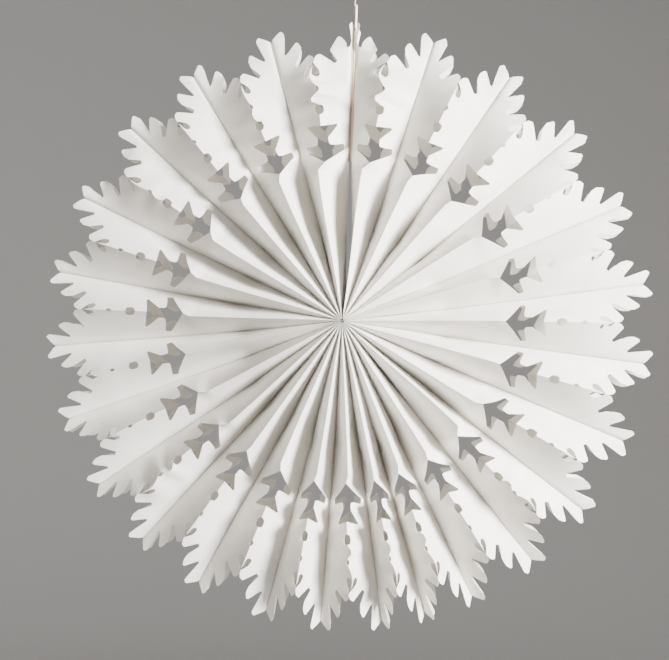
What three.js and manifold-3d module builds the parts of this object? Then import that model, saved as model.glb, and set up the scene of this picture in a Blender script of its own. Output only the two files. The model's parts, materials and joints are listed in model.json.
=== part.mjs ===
// Hanging paper rosette: flat paper pockets glued side by side, opened out from a folded
// bundle into a full disc, with a card strip on each end of the row and a hanging thread.
// Millimetres, +Z up. The disc faces -Y. The origin is the inside top of the hanging loop.
import * as THREE from 'three';
import { mergeVertices } from 'three/addons/utils/BufferGeometryUtils.js';
import Module from 'manifold-3d';

const wasm = await Module();
wasm.setup();

// ---- driving dimensions -------------------------------------------------------------

// How far each pocket stands open, in degrees, clockwise from the top. The pockets crowd
// together at the bottom of the hanging disc and stand wide at its top.
const OPENING = [
  15.7, 16.3, 16.6, 16.6, 15.6, 15.2, 15.1, 15.2, 13.5, 13.2, 9.5, 8.4, 11.7,
  10.7, 14.2, 13.8, 13.6, 14.1, 14.7, 14.6, 15.5, 16.6, 16.1, 16.8, 16.7,
];
const POCKETS = OPENING.length;
const HALF_DEPTH = 43; // from the mid-plane to a pocket's front or back fold, paper flat
const GLUE_HALF = 2; // half width of the glued band between two pockets
const PAPER = 0.2; // wall of a pocket
const GLUE_GAP = 0.3; // clear space between two glued walls
const INNER_END = 4; // where the pockets start, from the hub axis
const PAPER_SLACK = 0.5; // a wide open pocket's wall keeps this much of its width in reserve
const HOLLOW_START = 25; // nearer the hub than this a pocket is solid paper
const WALL_STATIONS = [90, 165, 225];
const BLANK_END = 296; // the pocket's length before its end is cut into teeth
const CUT_REACH = 60; // how far a die's cut runs in front of and behind the mid-plane
const TRIM_REACH = 330; // how far out the end's waste is cleared
const OVERCUT = 5; // how far a cut runs past the surface it opens

const HUB_DROP = 352; // hub axis below the inside top of the hanging loop

const CARD = 1.3; // thickness of the two card strips
const CARD_WIDTH = 10;
const CARD_CORNER = 3;
const CARD_START = 158;
const CARD_END = 290;
const TAB_END = 311; // the hanger card's tab stands out past the paper
const TAPE = 0.4;
const TAPE_WIDTH = 7;
const TAPE_MARGIN = 6; // the tape stops this far from the end card's ends
const TOUCH_GAP = 0.3; // clear space between pieces that touch
const SEAM_CLEAR = CARD + TAPE / 2 + TOUCH_GAP * 2; // from the seam plane to the end pockets
const HOLE_AT = 302; // the thread's hole in the tab, from the hub axis
const HOLE_SIZE = 1.6;
const HOLE_SIDES = 12;

const THREAD = 0.8;
const THREAD_SIDES = 8;
const THREAD_STEPS = 24;
const LOOP_RADIUS = 7;
const LOOP_STEPS = 28;
const KNOT_RADIUS = 1.5;
const SPINE_RADIUS = 1.2;
const SPINE_SIDES = 10;
const SPINE_MARGIN = 3; // the spine thread stops this far inside the front and back folds

// The die's cuts on one half of a pocket's face, as [distance from the hub, distance from
// the glued midline], both measured on the flat sheet.
const FOLD = HALF_DEPTH;
const WINDOW = [
  [148, FOLD], [167, 13], [171.5, 15], [168, 33], [174, 34.5], [189.5, 22.5], [183.5, FOLD],
];
const TEETH = [
  [282, 0], [291.5, 13], [287.5, 15.5], [267, 13], [277, 25], [264, 27.5], [251, 22],
  [258, 38], [251, FOLD],
];

// ---- the fan's angles ---------------------------------------------------------------

// Glue line j of the row, in degrees clockwise from the top, where the row's ends meet.
function glueAngle(j) {
  return OPENING.slice(0, j).reduce((sum, opening) => sum + opening, 0);
}

// ---- solids -------------------------------------------------------------------------

function solidOf(geometry) {
  const bare = geometry.index ? geometry.toNonIndexed() : geometry;
  bare.deleteAttribute('normal');
  bare.deleteAttribute('uv');
  const merged = mergeVertices(bare, 1e-5);
  return new wasm.Manifold(new wasm.Mesh({
    numProp: 3,
    vertProperties: new Float32Array(merged.attributes.position.array),
    triVerts: new Uint32Array(merged.index.array),
  }));
}

function geometryOf(solid) {
  const mesh = solid.getMesh();
  const geometry = new THREE.BufferGeometry();
  geometry.setAttribute('position', new THREE.BufferAttribute(mesh.vertProperties, 3));
  geometry.setIndex(new THREE.BufferAttribute(mesh.triVerts, 1));
  geometry.computeVertexNormals();
  return geometry;
}

// A closed solid through a row of rings, each ring a list of [x, y, z] in the same order.
function loft(rings) {
  const sides = rings[0].length;
  const index = [];
  for (let r = 0; r + 1 < rings.length; r += 1) {
    for (let i = 0; i < sides; i += 1) {
      const a = r * sides + i;
      const b = r * sides + ((i + 1) % sides);
      index.push(a, b, b + sides, a, b + sides, a + sides);
    }
  }
  const last = (rings.length - 1) * sides;
  for (let i = 1; i + 1 < sides; i += 1) {
    index.push(0, i + 1, i);
    index.push(last, last + i, last + i + 1);
  }
  const geometry = new THREE.BufferGeometry();
  geometry.setAttribute('position', new THREE.Float32BufferAttribute(rings.flat(2), 3));
  geometry.setIndex(index);
  return solidOf(geometry);
}

// A prism that runs along Y, from an outline of [x, z] points.
function prismAlongY(outline, halfLength) {
  const shape = new THREE.Shape(outline.map(([x, z]) => new THREE.Vector2(x, z)));
  const geometry = new THREE.ExtrudeGeometry(shape, { depth: 2 * halfLength, bevelEnabled: false });
  geometry.rotateX(Math.PI / 2);
  geometry.translate(0, halfLength, 0);
  return solidOf(geometry);
}

// ---- one paper pocket, standing on the hub axis with its folds at x = 0 --------------

// The opened pocket's cross-section at a distance s along its glue lines. The paper keeps
// its length from glue line to fold, so the wider the pocket opens the flatter it gets.
function pocketRing(s, half, inset) {
  const reach = Math.min(s * Math.tan(half), HALF_DEPTH - GLUE_HALF - PAPER_SLACK);
  const rise = Math.sqrt((HALF_DEPTH - GLUE_HALF) ** 2 - reach ** 2);
  const slant = Math.hypot(rise, reach) / reach;
  const fold = GLUE_HALF + rise - (inset * slant + (inset > 0 ? 0 : GLUE_GAP / 2));
  const side = s * Math.sin(half) - GLUE_GAP / 2 - inset;
  const sideZ = s * Math.cos(half);
  const foldZ = s / Math.cos(half);
  return [
    [0, -fold, foldZ],
    [side, -GLUE_HALF, sideZ],
    [side, GLUE_HALF, sideZ],
    [0, fold, foldZ],
    [-side, GLUE_HALF, sideZ],
    [-side, -GLUE_HALF, sideZ],
  ];
}

// Where a point of the flat half sheet lands, seen from the front of the opened pocket.
function sheetToFront([s, w], half) {
  const share = w / HALF_DEPTH;
  const reach = Math.min(s * Math.tan(half), HALF_DEPTH) * share;
  return [s * Math.sin(half) - reach * Math.cos(half), s * Math.cos(half) + reach * Math.sin(half)];
}

function bothHalves(points, half) {
  const right = points.map((point) => sheetToFront(point, half));
  const offFold = points.filter(([, w]) => w < FOLD).map((point) => sheetToFront(point, half));
  const left = offFold.map(([x, z]) => [-x, z]).reverse();
  return [...right, ...left];
}

function endWaste(half) {
  const [edgeX, edgeZ] = sheetToFront(TEETH[0], half);
  const teeth = bothHalves(TEETH, half);
  return [
    [edgeX + OVERCUT, edgeZ], ...teeth, [-edgeX - OVERCUT, edgeZ],
    [-TRIM_REACH / 2, TRIM_REACH], [TRIM_REACH / 2, TRIM_REACH],
  ];
}

// The space beside the seam, in the frame of an end pocket. The seam is on the pocket's
// left (side -1) for the row's first pocket and on its right (side 1) for the last.
function besideSeam(half, side, clear) {
  const box = new THREE.BoxGeometry(TRIM_REACH, 2 * CUT_REACH, 2 * TRIM_REACH);
  box.translate(-side * (TRIM_REACH / 2 + clear), 0, 0);
  box.rotateY(side * half);
  return solidOf(box);
}

// The cuts can leave crumbs far smaller than the pocket itself, which is all that is kept.
function withoutCrumbs(solid) {
  const bySize = solid.decompose().sort((one, other) => other.volume() - one.volume());
  return bySize[0];
}

function paperPocket(half, seam) {
  const stations = (first, last) => [first, ...WALL_STATIONS, last];
  let outside = loft(stations(INNER_END, BLANK_END).map((s) => pocketRing(s, half, 0)));
  let inside = loft(stations(HOLLOW_START, BLANK_END + OVERCUT).map((s) => pocketRing(s, half, PAPER)));
  if (seam !== 0) {
    outside = outside.intersect(besideSeam(half, seam, SEAM_CLEAR));
    inside = inside.intersect(besideSeam(half, seam, SEAM_CLEAR + PAPER));
  }
  return withoutCrumbs(outside
    .subtract(inside)
    .subtract(prismAlongY(bothHalves(WINDOW, half), CUT_REACH))
    .subtract(prismAlongY(endWaste(half), CUT_REACH)));
}

// ---- the two card strips and the tape between them ------------------------------------

// A strip of card on edge: its faces look along X and its far corners are rounded.
function cardStrip(start, end) {
  const halfWidth = CARD_WIDTH / 2;
  const cornerAt = end - CARD_CORNER;
  const shape = new THREE.Shape();
  shape.moveTo(start, -halfWidth);
  shape.lineTo(cornerAt, -halfWidth);
  shape.absarc(cornerAt, CARD_CORNER - halfWidth, CARD_CORNER, -Math.PI / 2, 0);
  shape.absarc(cornerAt, halfWidth - CARD_CORNER, CARD_CORNER, 0, Math.PI / 2);
  shape.lineTo(start, halfWidth);
  shape.closePath();
  const geometry = new THREE.ExtrudeGeometry(shape, { depth: CARD, bevelEnabled: false, curveSegments: 4 });
  geometry.rotateY(-Math.PI / 2);
  geometry.translate(CARD / 2, 0, 0);
  return solidOf(geometry);
}

function hangerCard() {
  const drill = new THREE.CylinderGeometry(HOLE_SIZE / 2, HOLE_SIZE / 2, CARD + OVERCUT, HOLE_SIDES);
  drill.rotateZ(Math.PI / 2);
  drill.translate(0, 0, HOLE_AT);
  return cardStrip(CARD_START, TAB_END).subtract(solidOf(drill));
}

function tapeStrip() {
  const length = CARD_END - CARD_START - 2 * TAPE_MARGIN;
  const geometry = new THREE.BoxGeometry(TAPE, TAPE_WIDTH, length);
  geometry.translate(0, 0, (CARD_START + CARD_END) / 2);
  return geometry;
}

// ---- the thread -----------------------------------------------------------------------

const cardFace = TAPE / 2 + TOUCH_GAP; // the card faces that look at the tape
const loopCentre = HUB_DROP + THREAD / 2 - LOOP_RADIUS;
const loopKnotAt = loopCentre - LOOP_RADIUS - THREAD / 2 - TOUCH_GAP - KNOT_RADIUS;

// From its glued end in the tab's hole, up the tab's left face and on to the knot under the
// loop.
function threadPath() {
  const topEnd = loopKnotAt - KNOT_RADIUS - TOUCH_GAP;
  return new THREE.CatmullRomCurve3([
    new THREE.Vector3(cardFace + CARD, 0, HOLE_AT),
    new THREE.Vector3(cardFace, 0, HOLE_AT),
    new THREE.Vector3(-0.4, 0, HOLE_AT + 0.9),
    new THREE.Vector3(-0.6, 0, HOLE_AT + 4),
    new THREE.Vector3(-0.5, 0, TAB_END + 2),
    new THREE.Vector3(0, 0, topEnd - 6),
    new THREE.Vector3(0, 0, topEnd),
  ], false, 'centripetal');
}

function threadStrand() {
  const section = new THREE.Shape();
  section.absarc(0, 0, THREAD / 2, 0, 2 * Math.PI);
  return new THREE.ExtrudeGeometry(section, {
    extrudePath: threadPath(),
    steps: THREAD_STEPS,
    curveSegments: THREAD_SIDES,
    bevelEnabled: false,
  });
}

function threadLoop() {
  const geometry = new THREE.TorusGeometry(LOOP_RADIUS, THREAD / 2, THREAD_SIDES, LOOP_STEPS);
  geometry.rotateX(Math.PI / 2);
  return geometry;
}

function threadKnot() {
  return new THREE.IcosahedronGeometry(KNOT_RADIUS, 1);
}

// Cotton bound round the stacked inner edges of the pockets, along the hub axis.
function spineThread() {
  const length = 2 * (HALF_DEPTH - SPINE_MARGIN);
  return new THREE.CylinderGeometry(SPINE_RADIUS, SPINE_RADIUS, length, SPINE_SIDES);
}

// ---- assembly -------------------------------------------------------------------------

const whitePaper = { color: 0xf3f1ec, roughness: 0.85, metalness: 0 };
const beigeCard = { color: 0xe2cba6, roughness: 0.9, metalness: 0 };
const brownCard = { color: 0x9c8570, roughness: 0.9, metalness: 0 };
const clearTape = { color: 0xd9d4c8, roughness: 0.5, metalness: 0 };
const whiteThread = { color: 0xd8d6d2, roughness: 0.9, metalness: 0 };

function piece(name, shape, look) {
  const geometry = shape instanceof wasm.Manifold ? geometryOf(shape) : shape;
  const mesh = new THREE.Mesh(geometry, new THREE.MeshStandardMaterial(look));
  mesh.name = name;
  return mesh;
}

function pocketRow() {
  const row = new THREE.Group();
  for (let k = 1; k <= POCKETS; k += 1) {
    const from = glueAngle(k - 1);
    const to = glueAngle(k);
    const half = THREE.MathUtils.degToRad((to - from) / 2);
    const seam = Number(k === POCKETS) - Number(k === 1);
    const name = `paper_pocket_${String(k).padStart(2, '0')}`;
    const pocket = piece(name, paperPocket(half, seam), whitePaper);
    pocket.rotation.y = THREE.MathUtils.degToRad((from + to) / 2);
    row.add(pocket);
  }
  return row;
}

function seamPieces() {
  const seam = new THREE.Group();
  const hanger = piece('hanger_card', hangerCard(), beigeCard);
  hanger.position.x = cardFace + CARD / 2;
  const endCard = piece('end_card', cardStrip(CARD_START, CARD_END), brownCard);
  endCard.position.x = -cardFace - CARD / 2;
  const tape = piece('adhesive_tape', tapeStrip(), clearTape);
  seam.add(hanger, endCard, tape);
  return seam;
}

function threadPieces() {
  const thread = new THREE.Group();
  const loop = piece('hanging_loop', threadLoop(), whiteThread);
  loop.position.z = loopCentre;
  const knot = piece('loop_knot', threadKnot(), whiteThread);
  knot.position.z = loopKnotAt;
  thread.add(piece('hanging_thread', threadStrand(), whiteThread), knot, loop);
  return thread;
}

const rosette = new THREE.Group();
rosette.position.z = -HUB_DROP;
rosette.add(pocketRow(), seamPieces(), threadPieces(), piece('spine_thread', spineThread(), whiteThread));

const hangingRosette = new THREE.Group();
hangingRosette.add(rosette);

export default hangingRosette;
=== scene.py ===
"""Hanging paper rosette: die-cut paper pockets fanned out into a disc, on a thread."""
import json
import math

import bpy
import numpy as np
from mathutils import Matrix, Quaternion, Vector
from mathutils.geometry import delaunay_2d_cdt


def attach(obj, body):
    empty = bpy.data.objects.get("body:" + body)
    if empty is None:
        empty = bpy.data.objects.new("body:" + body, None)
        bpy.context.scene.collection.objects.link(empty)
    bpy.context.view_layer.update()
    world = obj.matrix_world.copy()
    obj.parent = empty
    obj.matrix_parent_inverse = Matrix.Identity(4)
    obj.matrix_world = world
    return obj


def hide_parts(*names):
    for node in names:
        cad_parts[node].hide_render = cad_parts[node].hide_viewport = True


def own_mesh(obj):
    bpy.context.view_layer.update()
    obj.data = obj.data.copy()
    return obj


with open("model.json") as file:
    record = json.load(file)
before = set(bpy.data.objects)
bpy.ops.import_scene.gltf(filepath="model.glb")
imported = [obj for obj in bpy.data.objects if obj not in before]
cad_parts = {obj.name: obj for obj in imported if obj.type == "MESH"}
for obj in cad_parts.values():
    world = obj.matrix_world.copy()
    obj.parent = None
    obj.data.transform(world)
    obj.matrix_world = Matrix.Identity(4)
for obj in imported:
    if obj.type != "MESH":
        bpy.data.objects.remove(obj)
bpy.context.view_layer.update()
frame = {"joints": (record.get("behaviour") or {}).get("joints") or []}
chance = np.random.default_rng(11)

# ---- sizes ----------------------------------------------------------------------------

MM = 0.001
HUB = Vector(frame["joints"][0]["pos_m"])

# How far each pocket stands open, in degrees, clockwise from the seam at the top.
OPENING = (
    15.7, 16.3, 16.6, 16.6, 15.6, 15.2, 15.1, 15.2, 13.5, 13.2, 9.5, 8.4, 11.7,
    10.7, 14.2, 13.8, 13.6, 14.1, 14.7, 14.6, 15.5, 16.6, 16.1, 16.8, 16.7,
)
# How far each pocket's front fold strays clockwise just inside the window, in millimetres.
INNER_LEAN = (
    -5.9, -1.7, -1.5, -2.7, -2.5, -0.7, -0.7, 2.2, -6.9, -2.0, -2.2, -0.5, -2.3,
    -1.5, 2.5, -1.0, -5.1, -3.2, -0.3, -2.3, -3.1, -4.9, -2.0, -3.2, -6.9,
)
# Folds that lean over their neighbour between the small holes, again in millimetres.
LOBE_LEAN = {1: -7, 9: -4, 11: -3, 12: -3, 13: -4, 17: -4, 22: -2, 24: -2, 25: -7.5}
LOBES = ((205, 217.5), (223.5, 250))     # where they do it, in millimetres from the hub
POCKETS = len(OPENING)

HALF_DEPTH = 43 * MM     # from the glued midline of a sheet to its fold
PAPER = 0.15 * MM
WELD = 0.02 * MM         # half sheets closer than this along a fold or midline are joined
SHARP_FOLD = math.radians(38)            # paper folded by more than this shades as a crease
INNER_END = 1.8 * MM     # where the sheets start, from the hub axis
GLUE_HALF = 1.2 * MM     # two pockets are glued over this half width
HUB_RELIEF = 2 * MM      # at the hub the sheets are pressed together up to this from the fold
VALLEY_SLOPE = 1.1       # farther out the valley between two folds is this deep for its width
VALLEY_OPENS = 150 * MM  # and deeper still on the way out to the window,
VALLEY_DEEPENS = 1.5     # by this many times its depth
TIP_DRAWN_IN = 0.25      # share of its depth that a pocket's tip is drawn in by
GLUE_CLEAR = 0.08 * MM   # between the glued faces of two pockets
SEAM_GLUE = 4.5 * MM     # an end pocket is glued to its card over this half width,
SEAM_GLUE_TIP = 12 * MM  # and its outermost tooth stays turned along the card this far
SEAM_TIP = (262 * MM, 273 * MM)          # from the hub, where one width passes to the other
# Half the gap between the two end pockets, as (from the hub, half gap): it bulges on the
# way out to the cards, where it holds both of them.
SEAM_GAP = np.array([(0, 0.6), (20, 1.8), (55, 3.1), (100, 2.7), (146, 1.5), (158, 2.1)]) * MM
SEAM_BOW = 1.3 * MM      # how far the whole gap bows clockwise between the hub and the cards

# How the paper of an open pocket bends.
WIDEST = 0.975           # a sheet stands out by at most this share of its free width
BEND_SHARE = 0.25        # its bend radius is this share of what it lacks from its widest,
LEAST_BEND = 0.1         # but at least this share of its free width
MOST_BEND = 4 * MM       # and at most this
BELLY_START = 100 * MM   # the sheets belly fully from here outwards
RIPPLE_HEIGHT = 0.3 * MM
LONG_RIPPLE = 26 * MM    # lengths of the two ripples, over 2 pi
SHORT_RIPPLE = 11 * MM
SHORT_RIPPLE_SHARE = 0.6                 # of the long one's height
TIP = (225 * MM, 295 * MM)               # from the hub, where a pocket turns into its tip

# How unevenly the paper was folded and glued: random, as standard deviations, in millimetres.
BACK_LEAN = -2.2         # the mean lean of the back folds, which are out of sight
BACK_LEAN_SPREAD = 2
BACK_LOBE_SPREAD = 1.5
PUFF_SPREAD = 0.7        # of a sheet's belly
CURL_SPREAD = 1.4        # of a tip's depth

CARD = 1.3 * MM
CARD_WIDTH = 10 * MM
CARD_CORNER = 3 * MM
CARD_RIM = 0.15 * MM     # worn off its edges
SHARP_EDGE = math.radians(40)
CARD_FACE = 0.5 * MM     # a card's face that looks at the tape, from the seam plane
CARD_START = 158 * MM    # from the hub axis, as are the next two
END_CARD_END = 290 * MM
TAB_END = 311 * MM       # the hanger card's tab stands out past the paper
TAB_HOLE = HUB + Vector((0, 0, 302)) * MM
TAB_HOLE_RADIUS = 0.8 * MM
TAPE = 0.4 * MM
TAPE_WIDTH = 9.4 * MM    # pressed out to just under the cards' edges
TAPE_MARGIN = 6 * MM

THREAD = 0.8 * MM
LOOP_RADIUS = 7 * MM
KNOT_RADIUS = 1.5 * MM
LOOP_KNOT = HUB + Vector((0, 0, 336.2)) * MM
SPINE_RADIUS = 1.2 * MM
SPINE_HALF = 40 * MM
# The thread's route in millimetres from the hub, as in the CAD: from its glued end in the
# tab's hole, up the tab's left face and on to the knot under the loop.
THREAD_ROUTE = (
    (1.8, 0, 302), (0.5, 0, 302), (-0.4, 0, 302.9), (-0.6, 0, 306), (-0.5, 0, 313),
    (0, 0, 328.4), (0, 0, 334.4),
)


# ---- camera, first --------------------------------------------------------------------

CAMERA_DISTANCE = 0.96
CAMERA_AZIMUTH = math.radians(3.9)
CAMERA_ELEVATION = math.radians(-2.5)
CAMERA_ROLL = math.radians(2)
CAMERA_AIM = HUB + Vector((-9.5, 0, -6.9)) * MM
CAMERA_LENS = 53.6


def make_camera():
    away = Vector((
        math.sin(CAMERA_AZIMUTH) * math.cos(CAMERA_ELEVATION),
        -math.cos(CAMERA_AZIMUTH) * math.cos(CAMERA_ELEVATION),
        math.sin(CAMERA_ELEVATION),
    ))
    camera = bpy.data.objects.new("camera", bpy.data.cameras.new("camera"))
    camera.data.lens = CAMERA_LENS
    camera.data.clip_start = 0.01
    camera.location = CAMERA_AIM + away * CAMERA_DISTANCE
    turn = (-away).to_track_quat("-Z", "Y") @ Quaternion((0, 0, 1), CAMERA_ROLL)
    camera.rotation_euler = turn.to_euler()
    bpy.context.scene.collection.objects.link(camera)
    bpy.context.scene.camera = camera


# ---- small helpers --------------------------------------------------------------------

def new_piece(name, verts, faces, material, uvs=None):
    mesh = bpy.data.meshes.new(name)
    mesh.from_pydata([tuple(v) for v in verts], [], [tuple(f) for f in faces])
    if uvs is not None:
        layer = mesh.uv_layers.new(name="sheet")
        corner = np.empty(len(mesh.loops), dtype=np.int32)
        mesh.loops.foreach_get("vertex_index", corner)
        layer.data.foreach_set("uv", np.asarray(uvs)[corner].ravel())
    mesh.materials.append(material)
    mesh.shade_smooth()
    piece = bpy.data.objects.new(name, mesh)
    bpy.context.scene.collection.objects.link(piece)
    return piece


def apply_modifiers(piece):
    graph = bpy.context.evaluated_depsgraph_get()
    mesh = bpy.data.meshes.new_from_object(piece.evaluated_get(graph))
    piece.modifiers.clear()
    piece.data = mesh


def node(tree, kind, settings=(), **inputs):
    made = tree.nodes.new(kind)
    for key, value in dict(settings).items():
        setattr(made, key, value)
    for key, value in inputs.items():
        socket = made.inputs[key.replace("_", " ")]
        if isinstance(value, bpy.types.NodeSocket):
            tree.links.new(value, socket)
        else:
            socket.default_value = value
    return made


# ---- the flat die-cut sheet -----------------------------------------------------------
# One half of a pocket's face, laid flat: s runs out from the hub and w from the glued
# midline (0) to the fold (43), in millimetres. Corners are (s, w, rounding radius).

FOLD = HALF_DEPTH / MM
TOOTHED_END = [
    (282, 0, 0), (291.6, 13.6, 1.5), (288.5, 16.2, 3), (276, 13.8, 8), (267, 11.8, 1.2),
    (266.8, 14.2, 1.2), (277.9, 25.3, 2), (270.5, 28.6, 5), (263.5, 27.8, 6), (252.9, 20.4, 1),
    (250, 23.6, 1), (258.8, 37.5, 2.2), (255.8, 41.5, 2), (251.5, FOLD, 0),
]
DROP = [
    (248.8, FOLD, 0), (243.4, 36.4, 4), (238, 34.4, 2.4), (235.2, 38, 2), (237.5, 41.6, 1.5),
    (246.8, FOLD, 0),
]
SMALL_DOT = [(223.5, FOLD, 0), (222.8, 41, 1), (220, 40.6, 1), (217.5, FOLD, 0)]
LARGE_DOT = [
    (204.6, FOLD, 0), (204.8, 38, 1.2), (200.5, 37, 1.5), (197.2, 38.5, 1.5), (194.3, FOLD, 0),
]
WINDOW = [
    (183.3, FOLD, 0), (190.8, 20, 1.2), (177.6, 31.5, 4), (174, 34.9, 2.2), (167.4, 33.9, 2.2),
    (168.4, 27, 6), (172, 13.8, 1.5), (167, 12, 1.2), (148.2, FOLD, 0),
]
WINDOW_START = 148.2 * MM  # its tip on the fold, from the hub axis
FOLD_KINK = 141.8 * MM     # a fold that leans does so from here inwards
GRID_ROW = 5.0
GRID_ACROSS = (2, 4.5, 7, 10, 13.5, 17.5, 22, 26.5, 31, 35.5, 39.5)
CUT_CLEAR = 1.0          # grid points keep this far from the outline


def rounded(corners, steps=5):
    """The outline with each corner turned into an arc that is tangent to both its sides."""
    path = []
    for i, (s, w, radius) in enumerate(corners):
        here = Vector((s, w))
        if radius == 0:
            path.append(here)
            continue
        back = (Vector(corners[i - 1][:2]) - here).normalized()
        ahead = (Vector(corners[i + 1][:2]) - here).normalized()
        opening = back.angle(ahead)
        centre = here + (back + ahead).normalized() * (radius / math.sin(opening / 2))
        reach = radius / math.tan(opening / 2)
        first = here + back * reach - centre
        last = here + ahead * reach - centre
        for step in range(steps + 1):
            path.append(centre + first.slerp(last, step / steps) * radius)
    return path


def filled_in(path, longest):
    """The closed path with points added so that no straight stretch is longer than this."""
    dense = []
    for here, there in zip(path, path[1:] + path[:1]):
        parts = max(1, math.ceil((there - here).length / longest))
        dense += [here.lerp(there, part / parts) for part in range(parts)]
    return dense


def sheet_outline():
    path = []
    for cut in (TOOTHED_END, DROP, SMALL_DOT, LARGE_DOT, WINDOW):
        path += rounded(cut)
    inner = INNER_END / MM
    path += [Vector((FOLD_KINK / MM, FOLD)), Vector((inner, FOLD)), Vector((inner, 0))]
    return filled_in(path, GRID_ROW)


def inside(points, outline):
    """Which points are inside the outline, and at least CUT_CLEAR from it."""
    ahead = np.roll(outline, -1, axis=0)
    p = points[:, None]
    a, b = outline[None], ahead[None]
    crosses = (a[..., 1] > p[..., 1]) != (b[..., 1] > p[..., 1])
    rise = np.where(b[..., 1] == a[..., 1], 1, b[..., 1] - a[..., 1])
    at = a[..., 0] + (p[..., 1] - a[..., 1]) * (b[..., 0] - a[..., 0]) / rise
    within = (crosses & (p[..., 0] < at)).sum(axis=1) % 2 == 1
    side = b - a
    along = ((p - a) * side).sum(-1) / np.maximum((side ** 2).sum(-1), 1e-12)
    nearest = a + np.clip(along, 0, 1)[..., None] * side
    clear = np.linalg.norm(p - nearest, axis=-1).min(axis=1) > CUT_CLEAR
    return within & clear


def flat_half_sheet():
    """(points, triangles) of the die-cut half sheet."""
    outline = np.array([tuple(p) for p in sheet_outline()])
    rows = np.arange(INNER_END / MM + GRID_ROW, outline[:, 0].max(), GRID_ROW)
    grid = np.array([(s, w) for s in rows for w in GRID_ACROSS])
    points = np.vstack([outline, grid[inside(grid, outline)]])
    loop = [(i, (i + 1) % len(outline)) for i in range(len(outline))]
    verts, _, faces, *_ = delaunay_2d_cdt([Vector(p) for p in points], loop, [], 1, 1e-5)
    flat = np.array([tuple(v) for v in verts])
    return flat * MM, np.array(faces)


# ---- bending the sheet into an opened pocket ------------------------------------------

def glue_angle(j):
    """Glue line j of the row, in radians clockwise from the top."""
    return math.radians(sum(OPENING[:j]))


def cross_section(w, reach, glue, bend):
    """(away from the glue plane, away from the mid-plane) of points w from the midline.

    From the glued band the paper turns through an arc of radius bend and runs straight to
    its fold, which has to stand reach away from the glue plane."""
    low, high = np.zeros_like(w), np.full_like(w, math.pi / 2)
    for _ in range(30):
        tilt = (low + high) / 2
        stands = bend * (1 - np.cos(tilt)) + (HALF_DEPTH - glue - bend * tilt) * np.sin(tilt)
        low = np.where(stands < reach, tilt, low)
        high = np.where(stands < reach, high, tilt)
    past = np.maximum(w - glue, 0)
    turned = np.minimum(past / bend, tilt)
    straight = np.maximum(past - bend * tilt, 0)
    across = bend * (1 - np.cos(turned)) + straight * np.sin(tilt)
    out = np.minimum(w, glue) + bend * np.sin(turned) + straight * np.cos(tilt)
    return across, out


def smooth_step(low, high, value):
    share = np.clip((value - low) / (high - low), 0, 1)
    return share ** 2 * (3 - 2 * share)


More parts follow.
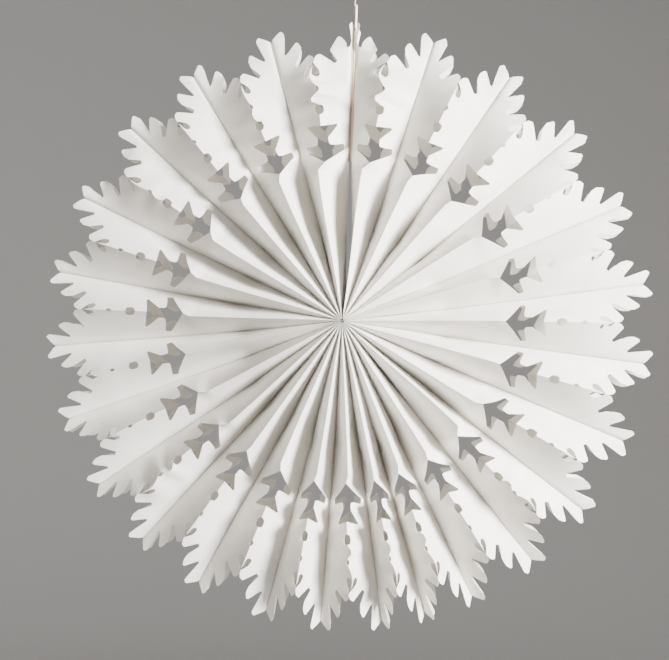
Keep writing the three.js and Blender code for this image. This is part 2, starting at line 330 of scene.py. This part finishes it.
class Pocket:
    """One pocket's angles and the small irregularities of its hand-glued paper."""

    def __init__(self, number):
        start, end = glue_angle(number - 1), glue_angle(number)
        self.half = (end - start) / 2
        self.turn = (start + end) / 2
        self.seam_side = (number == POCKETS) - (number == 1)
        self.lean = (INNER_LEAN[number - 1] * MM, chance.normal(BACK_LEAN, BACK_LEAN_SPREAD) * MM)
        self.lobes = (LOBE_LEAN.get(number, 0) * MM, chance.normal(0, BACK_LOBE_SPREAD) * MM)
        self.wave = chance.uniform(0, 2 * math.pi, (2, 2, 2))
        self.puff = chance.normal(0, PUFF_SPREAD, (2, 2)) * MM
        self.curl = chance.normal(0, CURL_SPREAD, (2, 2)) * MM

    def fold_lean(self, s, face):
        """How far the fold strays sideways at each s, clockwise."""
        past_window = np.clip((WINDOW_START - s) / (WINDOW_START - FOLD_KINK), 0, 1)
        lean = self.lean[face] * past_window * smooth_step(0, FOLD_KINK, s)
        for start, end in LOBES:
            share = np.clip((s / MM - start) / (end - start), 0, 1)
            lean = lean + self.lobes[face] * np.sin(math.pi * share)
        return lean

    def clearance(self, s, side):
        """From the glue plane to the paper: at the seam, half of the gap that stays open."""
        if side != self.seam_side:
            return np.full_like(s, GLUE_CLEAR)
        bow = SEAM_BOW * np.sin(math.pi * np.clip(s / SEAM_GAP[-1, 0], 0, 1))
        return np.interp(s, SEAM_GAP[:, 0], SEAM_GAP[:, 1]) - self.seam_side * bow

    def glued_width(self, s, side):
        """Half the width over which the sheet lies flat against its neighbour."""
        glue = GLUE_HALF
        if side == self.seam_side:
            tip = smooth_step(*SEAM_TIP, s)
            glue = SEAM_GLUE + (SEAM_GLUE_TIP - SEAM_GLUE) * tip
        width = 2 * s * math.tan(self.half)
        deeper = 1 + VALLEY_DEEPENS * (s / VALLEY_OPENS) ** 3
        valley = HUB_RELIEF + VALLEY_SLOPE * width * deeper
        return HALF_DEPTH - np.minimum(valley, HALF_DEPTH - glue)

    def surface(self, flat, side, face):
        """Flat half sheet to space: side is 1 or -1 for right or left, face 0 or 1 for
        front or back. The pocket stands on the hub axis along +Z. Both sides are drawn to
        the middle of their two folds, most of all near the fold."""
        crest = flat * (1, 0) + (0, HALF_DEPTH)
        to_middle = (self.bent(crest, -side, face) - self.bent(crest, side, face)) / 2
        share = (flat[:, 1:] / HALF_DEPTH) ** 2
        return self.bent(flat, side, face) + to_middle * share

    def bent(self, flat, side, face):
        """One side of the pocket on its own, bent out from its glued band."""
        s, w = flat[:, 0], flat[:, 1]
        clear = self.clearance(s, side)
        glue = self.glued_width(s, side)
        widest = (HALF_DEPTH - glue) * WIDEST
        reach = s * math.tan(self.half) - side * self.fold_lean(s, face) - clear
        reach = np.clip(reach, PAPER, widest)
        bend = np.clip(BEND_SHARE * (widest - reach), LEAST_BEND * widest, MOST_BEND)
        across, out = cross_section(w, reach, glue, bend)
        share = w / HALF_DEPTH
        belly = np.sin(math.pi * share) ** 2 * np.clip(s / BELLY_START, 0, 1)
        right = int(side > 0)
        first, second = self.wave[right, face]
        short = SHORT_RIPPLE_SHARE * np.sin(s / SHORT_RIPPLE + second)
        ripple = RIPPLE_HEIGHT * (np.sin(s / LONG_RIPPLE + first) + short)
        across = across + belly * (self.puff[right, face] + ripple)
        tip = smooth_step(*TIP, s)
        out = out * (1 - TIP_DRAWN_IN * tip) + self.curl[right, face] * tip * share
        along = s * math.cos(self.half) + across * math.sin(self.half)
        x = side * (s * math.sin(self.half) - clear - across * math.cos(self.half))
        y = out * (1 if face else -1)
        return np.stack([x, y, along], axis=1)


def pocket_mesh(pocket, flat, triangles):
    """Vertices, faces and flat positions of a whole pocket, made of four half sheets."""
    quarters = [(side, face) for side in (1, -1) for face in (0, 1)]
    verts = np.vstack([pocket.surface(flat, side, face) for side, face in quarters])
    uvs = np.vstack([flat * (1, side * (1 if face else -1)) for side, face in quarters])
    faces = []
    for number, (side, face) in enumerate(quarters):
        outward = (side > 0) == (face == 1)
        order = triangles if outward else triangles[:, ::-1]
        faces.append(order + number * len(flat))
    return verts, np.vstack(faces), uvs


def make_pocket(number, flat, triangles, material):
    pocket = Pocket(number)
    verts, faces, uvs = pocket_mesh(pocket, flat, triangles)
    sin, cos = math.sin(pocket.turn), math.cos(pocket.turn)
    turned = np.stack([
        verts[:, 0] * cos + verts[:, 2] * sin,
        verts[:, 1],
        verts[:, 2] * cos - verts[:, 0] * sin,
    ], axis=1) + np.array(HUB)
    piece = new_piece(f"paper_{number:02d}", turned, faces, material, uvs * 10)
    piece.modifiers.new("joined", "WELD").merge_threshold = WELD
    thick = piece.modifiers.new("paper", "SOLIDIFY")
    thick.thickness = PAPER
    thick.offset = -1
    apply_modifiers(piece)
    piece.data.set_sharp_from_angle(angle=SHARP_FOLD)
    body = f"pocket_{number:02d}"
    dress(piece, f"paper_pocket_{number:02d}", body)
    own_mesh(piece)


# ---- cards, tape, thread --------------------------------------------------------------

def card_strip(name, middle_x, end, material, hole=None):
    """A strip of card on edge, die-cut with two rounded corners and a slightly worn rim."""
    arc_steps, hole_steps = 12, 24
    start = HUB.z + CARD_START
    top = HUB.z + end
    half = CARD_WIDTH / 2
    corner = CARD_CORNER
    outline = [(start, -half), (start, half), (top - corner, half)]
    for step in range(arc_steps + 1):
        turn = math.pi * step / arc_steps
        side = half - corner if step <= arc_steps / 2 else corner - half
        outline.append((top - corner + corner * math.sin(turn), side + corner * math.cos(turn)))
    outline.append((top - corner, -half))
    curve = bpy.data.curves.new(name, "CURVE")
    curve.dimensions = "2D"
    curve.fill_mode = "BOTH"
    curve.extrude = CARD / 2 - CARD_RIM
    curve.bevel_depth = CARD_RIM
    curve.offset = -CARD_RIM
    add_loop(curve, outline)
    if hole is not None:
        around = [2 * math.pi * step / hole_steps for step in range(hole_steps)]
        add_loop(curve, [
            (hole.z + TAB_HOLE_RADIUS * math.cos(turn), TAB_HOLE_RADIUS * math.sin(turn))
            for turn in around
        ])
    flat = bpy.data.objects.new(name, curve)
    bpy.context.scene.collection.objects.link(flat)
    bpy.context.view_layer.update()
    shape = bpy.data.meshes.new_from_object(flat.evaluated_get(
        bpy.context.evaluated_depsgraph_get()))
    verts = [(middle_x + v.co.z, v.co.y, v.co.x) for v in shape.vertices]
    faces = [tuple(reversed(p.vertices)) for p in shape.polygons]
    bpy.data.objects.remove(flat)
    strip = new_piece(name, verts, faces, material)
    strip.data.set_sharp_from_angle(angle=SHARP_EDGE)
    return strip


def add_loop(curve, points):
    spline = curve.splines.new("POLY")
    spline.points.add(len(points) - 1)
    for point, (x, y) in zip(spline.points, points):
        point.co = (x, y, 0, 1)
    spline.use_cyclic_u = True


def tape_strip(material):
    """Double-sided tape between the cards, its two long edges torn a little unevenly."""
    rows, raggedness = 90, 0.12
    start, end = HUB.z + CARD_START + TAPE_MARGIN, HUB.z + END_CARD_END - TAPE_MARGIN
    verts, faces = [], []
    for row in range(rows + 1):
        z = start + (end - start) * row / rows
        front, back = TAPE_WIDTH / 2 - np.abs(chance.normal(0, raggedness, 2)) * MM
        for x, y in ((-TAPE / 2, -front), (TAPE / 2, -front), (TAPE / 2, back), (-TAPE / 2, back)):
            verts.append((x, y, z))
    for row in range(rows):
        for side in range(4):
            a, b = row * 4 + side, row * 4 + (side + 1) % 4
            faces.append((a, b, b + 4, a + 4))
    last = rows * 4
    faces += [(3, 2, 1, 0), (last, last + 1, last + 2, last + 3)]
    return new_piece("tape", verts, faces, material)


def smooth_path(points, step):
    """Points at most step apart on a smooth curve through the given ones."""
    before, after = 2 * points[0] - points[1], 2 * points[-1] - points[-2]
    ring = [before, *points, after]
    path = []
    for a, b, c, d in zip(ring, ring[1:], ring[2:], ring[3:]):
        parts = math.ceil((c - b).length / step)
        for part in range(parts):
            u = part / parts
            path.append(0.5 * (2 * b + (c - a) * u + (2 * a - 5 * b + 4 * c - d) * u ** 2
                               + (3 * b - a - 3 * c + d) * u ** 3))
    return path + [points[-1]]


def twisted_thread(name, path, radius, material, closed=False):
    """Three-ply thread along a path: a section of three lobes that turns as it goes."""
    sides, plies, pitch, groove = 18, 3, 6 * radius, 0.22
    count = len(path)
    normal = None
    length = 0
    verts = []
    for i, place in enumerate(path):
        ahead = path[(i + 1) % count] if closed or i + 1 < count else place
        behind = path[i - 1] if closed or i > 0 else place
        along = (ahead - behind).normalized()
        if normal is None:
            normal = along.orthogonal()
        normal = (normal - along * normal.dot(along)).normalized()
        across = along.cross(normal)
        length += (place - path[i - 1]).length if i > 0 else 0
        twist = 2 * math.pi * length / pitch
        for side in range(sides):
            turn = 2 * math.pi * side / sides
            ply = abs(math.cos(plies / 2 * (turn - twist)))
            lobe = radius * (1 - groove + groove * ply)
            verts.append(place + (normal * math.cos(turn) + across * math.sin(turn)) * lobe)
    faces = []
    for i in range(count if closed else count - 1):
        for side in range(sides):
            a, b = i * sides + side, i * sides + (side + 1) % sides
            c, d = (a + sides) % len(verts), (b + sides) % len(verts)
            faces.append((a, b, d, c))
    if not closed:
        faces.append(tuple(reversed(range(sides))))
        faces.append(tuple(range(len(verts) - sides, len(verts))))
    return new_piece(name, verts, faces, material)


def circle_path(centre, radius, steps):
    for step in range(steps):
        turn = 2 * math.pi * step / steps
        yield centre + Vector((math.sin(turn), 0, math.cos(turn))) * radius


def knot_piece(name, centre, material):
    """An overhand knot pulled tight: the thread runs along a small trefoil."""
    steps = 120
    tight = (KNOT_RADIUS - THREAD / 2) / 3   # a trefoil of size 1 reaches 3 from its middle
    path = []
    for step in range(steps):
        turn = 2 * math.pi * step / steps
        path.append(centre + tight * Vector((
            math.sin(turn) + 2 * math.sin(2 * turn),
            1.4 * math.sin(3 * turn),
            math.cos(turn) - 2 * math.cos(2 * turn),
        )))
    return twisted_thread(name, path, THREAD / 2, material, closed=True)


def make_thread(material):
    """The hanging thread, from the tab's hole to the loop that a hook goes through."""
    route = [HUB + Vector(point) * MM for point in THREAD_ROUTE]
    path = smooth_path(route, 0.15 * MM)
    strand = twisted_thread("thread_strand", path, THREAD / 2, material)
    loop_knot = knot_piece("thread_loop_knot", LOOP_KNOT, material)
    loop_centre = Vector((0, 0, THREAD / 2 - LOOP_RADIUS))
    around = list(circle_path(loop_centre, LOOP_RADIUS, 300))
    loop = twisted_thread("thread_loop", around, THREAD / 2, material, closed=True)
    for piece, node_name in (
        (strand, "hanging_thread"), (loop, "hanging_loop"), (loop_knot, "loop_knot"),
    ):
        dress(piece, node_name, "hanger")


def make_cards(beige, brown, tape_look):
    middle = CARD_FACE + CARD / 2
    hanger = card_strip("card_with_tab", middle, TAB_END, beige, TAB_HOLE)
    dress(hanger, "hanger_card", "hanger")
    end_card = card_strip("card_at_end", -middle, END_CARD_END, brown)
    dress(end_card, "end_card", "end_card")
    dress(tape_strip(tape_look), "adhesive_tape", "hanger")


def make_spine(material):
    """The binding thread along the hub axis, round which the inner ends of the paper stand."""
    steps = 500
    path = [
        HUB + Vector((0, SPINE_HALF * (2 * step / steps - 1), 0)) for step in range(steps + 1)
    ]
    spine = twisted_thread("hub_binding", path, SPINE_RADIUS, material)
    dress(spine, "spine_thread", "hanger")


def dress(piece, node_name, body):
    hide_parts(node_name)
    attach(piece, body)


# ---- materials ------------------------------------------------------------------------

def plain_material(name):
    material = bpy.data.materials.new(name)
    material.use_nodes = True
    tree = material.node_tree
    where = node(tree, "ShaderNodeTexCoord").outputs["Object"]
    return material, tree, tree.nodes["Principled BSDF"], where


def two_tones(tree, value, low, dark, high, light):
    tones = node(tree, "ShaderNodeValToRGB", Fac=value)
    for element, position, colour in zip(tones.color_ramp.elements, (low, high), (dark, light)):
        element.position = position
        element.color = (*colour, 1)
    return tones.outputs["Color"]


def paper_material():
    """White paper: faint mottling, fibres in relief, and light shining through."""
    material, tree, shader, where = plain_material("white_paper")
    cloud = node(tree, "ShaderNodeTexNoise", Vector=where, Scale=34.0, Detail=6.0)
    speck = node(tree, "ShaderNodeTexNoise", Vector=where, Scale=900.0, Detail=2.0)
    mixed = node(tree, "ShaderNodeMath", {"operation": "MULTIPLY_ADD"})
    tree.links.new(speck.outputs["Fac"], mixed.inputs[0])
    mixed.inputs[1].default_value = 0.35
    tree.links.new(cloud.outputs["Fac"], mixed.inputs[2])
    tone = two_tones(
        tree, mixed.outputs[0], 0.35, (0.84, 0.815, 0.77), 0.95, (0.975, 0.95, 0.905),
    )
    tree.links.new(tone, shader.inputs["Base Color"])
    gloss = node(tree, "ShaderNodeMapRange", Value=cloud.outputs["Fac"], To_Min=0.62, To_Max=0.85)
    tree.links.new(gloss.outputs["Result"], shader.inputs["Roughness"])
    stretch = node(tree, "ShaderNodeMapping", Vector=where, Scale=(1, 1, 0.25))
    fibre = node(
        tree, "ShaderNodeTexNoise", Vector=stretch.outputs["Vector"], Scale=1500.0, Detail=3.0,
        Roughness=0.6,
    )
    relief = node(
        tree, "ShaderNodeBump", Height=fibre.outputs["Fac"], Strength=0.25, Distance=0.0002,
    )
    tree.links.new(relief.outputs["Normal"], shader.inputs["Normal"])
    shader.inputs["Specular IOR Level"].default_value = 0.3
    through = node(tree, "ShaderNodeBsdfTranslucent", Color=tone, Normal=relief.outputs["Normal"])
    share = node(tree, "ShaderNodeMixShader", Fac=0.3)
    tree.links.new(shader.outputs["BSDF"], share.inputs[1])
    tree.links.new(through.outputs["BSDF"], share.inputs[2])
    tree.links.new(share.outputs["Shader"], tree.nodes["Material Output"].inputs["Surface"])
    return material


def card_material(name, dark, light):
    """Raw card: compressed fibres in layers, with darker specks."""
    material, tree, shader, where = plain_material(name)
    layers = node(tree, "ShaderNodeMapping", Vector=where, Scale=(6, 1, 0.4))
    fibre = node(
        tree, "ShaderNodeTexNoise", Vector=layers.outputs["Vector"], Scale=700.0, Detail=6.0,
        Roughness=0.7,
    )
    tone = two_tones(tree, fibre.outputs["Fac"], 0.3, dark, 0.65, light)
    tree.links.new(tone, shader.inputs["Base Color"])
    relief = node(
        tree, "ShaderNodeBump", Height=fibre.outputs["Fac"], Strength=0.5, Distance=0.0003,
    )
    tree.links.new(relief.outputs["Normal"], shader.inputs["Normal"])
    shader.inputs["Roughness"].default_value = 0.9
    return material


def tape_material():
    """Dull tape with air bubbles pressed into the glue."""
    material, tree, shader, where = plain_material("double_sided_tape")
    bubbles = node(tree, "ShaderNodeTexVoronoi", Vector=where, Scale=1400.0)
    tone = two_tones(
        tree, bubbles.outputs["Distance"], 0.1, (0.80, 0.71, 0.56), 0.6, (0.90, 0.82, 0.68),
    )
    tree.links.new(tone, shader.inputs["Base Color"])
    relief = node(
        tree, "ShaderNodeBump", Height=bubbles.outputs["Distance"], Strength=0.4, Distance=0.0002,
    )
    tree.links.new(relief.outputs["Normal"], shader.inputs["Normal"])
    shader.inputs["Roughness"].default_value = 0.45
    return material


def thread_material():
    """Off-white cotton: fine fibres over the twisted plies and a soft fuzz at the edges."""
    material, tree, shader, where = plain_material("cotton_thread")
    fibre = node(tree, "ShaderNodeTexNoise", Vector=where, Scale=6000.0, Detail=4.0)
    tone = two_tones(tree, fibre.outputs["Fac"], 0.3, (0.60, 0.585, 0.56), 0.7, (0.82, 0.81, 0.79))
    tree.links.new(tone, shader.inputs["Base Color"])
    relief = node(
        tree, "ShaderNodeBump", Height=fibre.outputs["Fac"], Strength=0.6, Distance=0.0001,
    )
    tree.links.new(relief.outputs["Normal"], shader.inputs["Normal"])
    shader.inputs["Roughness"].default_value = 0.9
    shader.inputs["Sheen Weight"].default_value = 0.3
    return material


# ---- studio ---------------------------------------------------------------------------

def make_studio():
    """A pale floor that curves up all round, far enough out for a camera on any side."""
    floor, cove, wall, top = -1.7, 1.2, 4.5, 3.2
    cove_steps, sides = 12, 64
    profile = [(0, floor), (wall - cove, floor)]
    for step in range(1, cove_steps + 1):
        turn = math.pi / 2 * step / cove_steps
        profile.append((wall - cove + cove * math.sin(turn), floor + cove * (1 - math.cos(turn))))
    profile.append((wall, top))
    verts = [
        (r * math.cos(2 * math.pi * i / sides), r * math.sin(2 * math.pi * i / sides), z)
        for r, z in profile for i in range(sides)
    ]
    faces = [
        (row * sides + i, row * sides + (i + 1) % sides, (row + 1) * sides + (i + 1) % sides,
         (row + 1) * sides + i)
        for row in range(len(profile) - 1) for i in range(sides)
    ]
    material = bpy.data.materials.new("studio_floor")
    material.use_nodes = True
    shader = material.node_tree.nodes["Principled BSDF"]
    shader.inputs["Base Color"].default_value = (0.40, 0.39, 0.38, 1)
    shader.inputs["Roughness"].default_value = 0.9
    new_piece("studio_floor", verts, faces, material)


def area_light(name, place, aim, size, power, colour):
    data = bpy.data.lights.new(name, "AREA")
    data.size, data.energy, data.color = size, power, colour
    light = bpy.data.objects.new(name, data)
    light.location = HUB + Vector(place)
    light.rotation_euler = (HUB + Vector(aim) - light.location).to_track_quat("-Z", "Y").to_euler()
    bpy.context.scene.collection.objects.link(light)


def make_lights():
    area_light("key_light", (1.25, -0.85, 0.35), (0, 0, 0), 0.45, 188, (1, 0.985, 0.96))
    area_light("fill_light", (-1.2, -1.9, 0.1), (0, 0, 0), 1.6, 11, (1, 0.99, 0.98))
    area_light("back_light", (0.5, 1.8, 0.8), (0, 0, 0), 1.6, 40, (1, 1, 1))
    world = bpy.data.worlds.new("studio_air")
    world.use_nodes = True
    world.node_tree.nodes["Background"].inputs["Color"].default_value = (0.98, 0.98, 1, 1)
    world.node_tree.nodes["Background"].inputs["Strength"].default_value = 0.43
    bpy.context.scene.world = world


# ---- the scene ------------------------------------------------------------------------

make_camera()
cotton = thread_material()
make_thread(cotton)
make_cards(
    # Hanger card: its beige is raised above the card's own tone, painted light that makes up for
    # the shade deep in the seam.
    card_material("beige_card", (0.90, 0.71, 0.46), (1.0, 0.85, 0.60)),
    # End card: darker than the hanger card, partly its own brown and partly painted shade for the
    # shadowed side of the seam.
    card_material("brown_card", (0.43, 0.35, 0.27), (0.61, 0.51, 0.40)),
    tape_material(),
)
make_spine(cotton)
white_paper = paper_material()
flat_sheet, flat_triangles = flat_half_sheet()
for number in range(1, POCKETS + 1):
    make_pocket(number, flat_sheet, flat_triangles, white_paper)
make_studio()
make_lights()
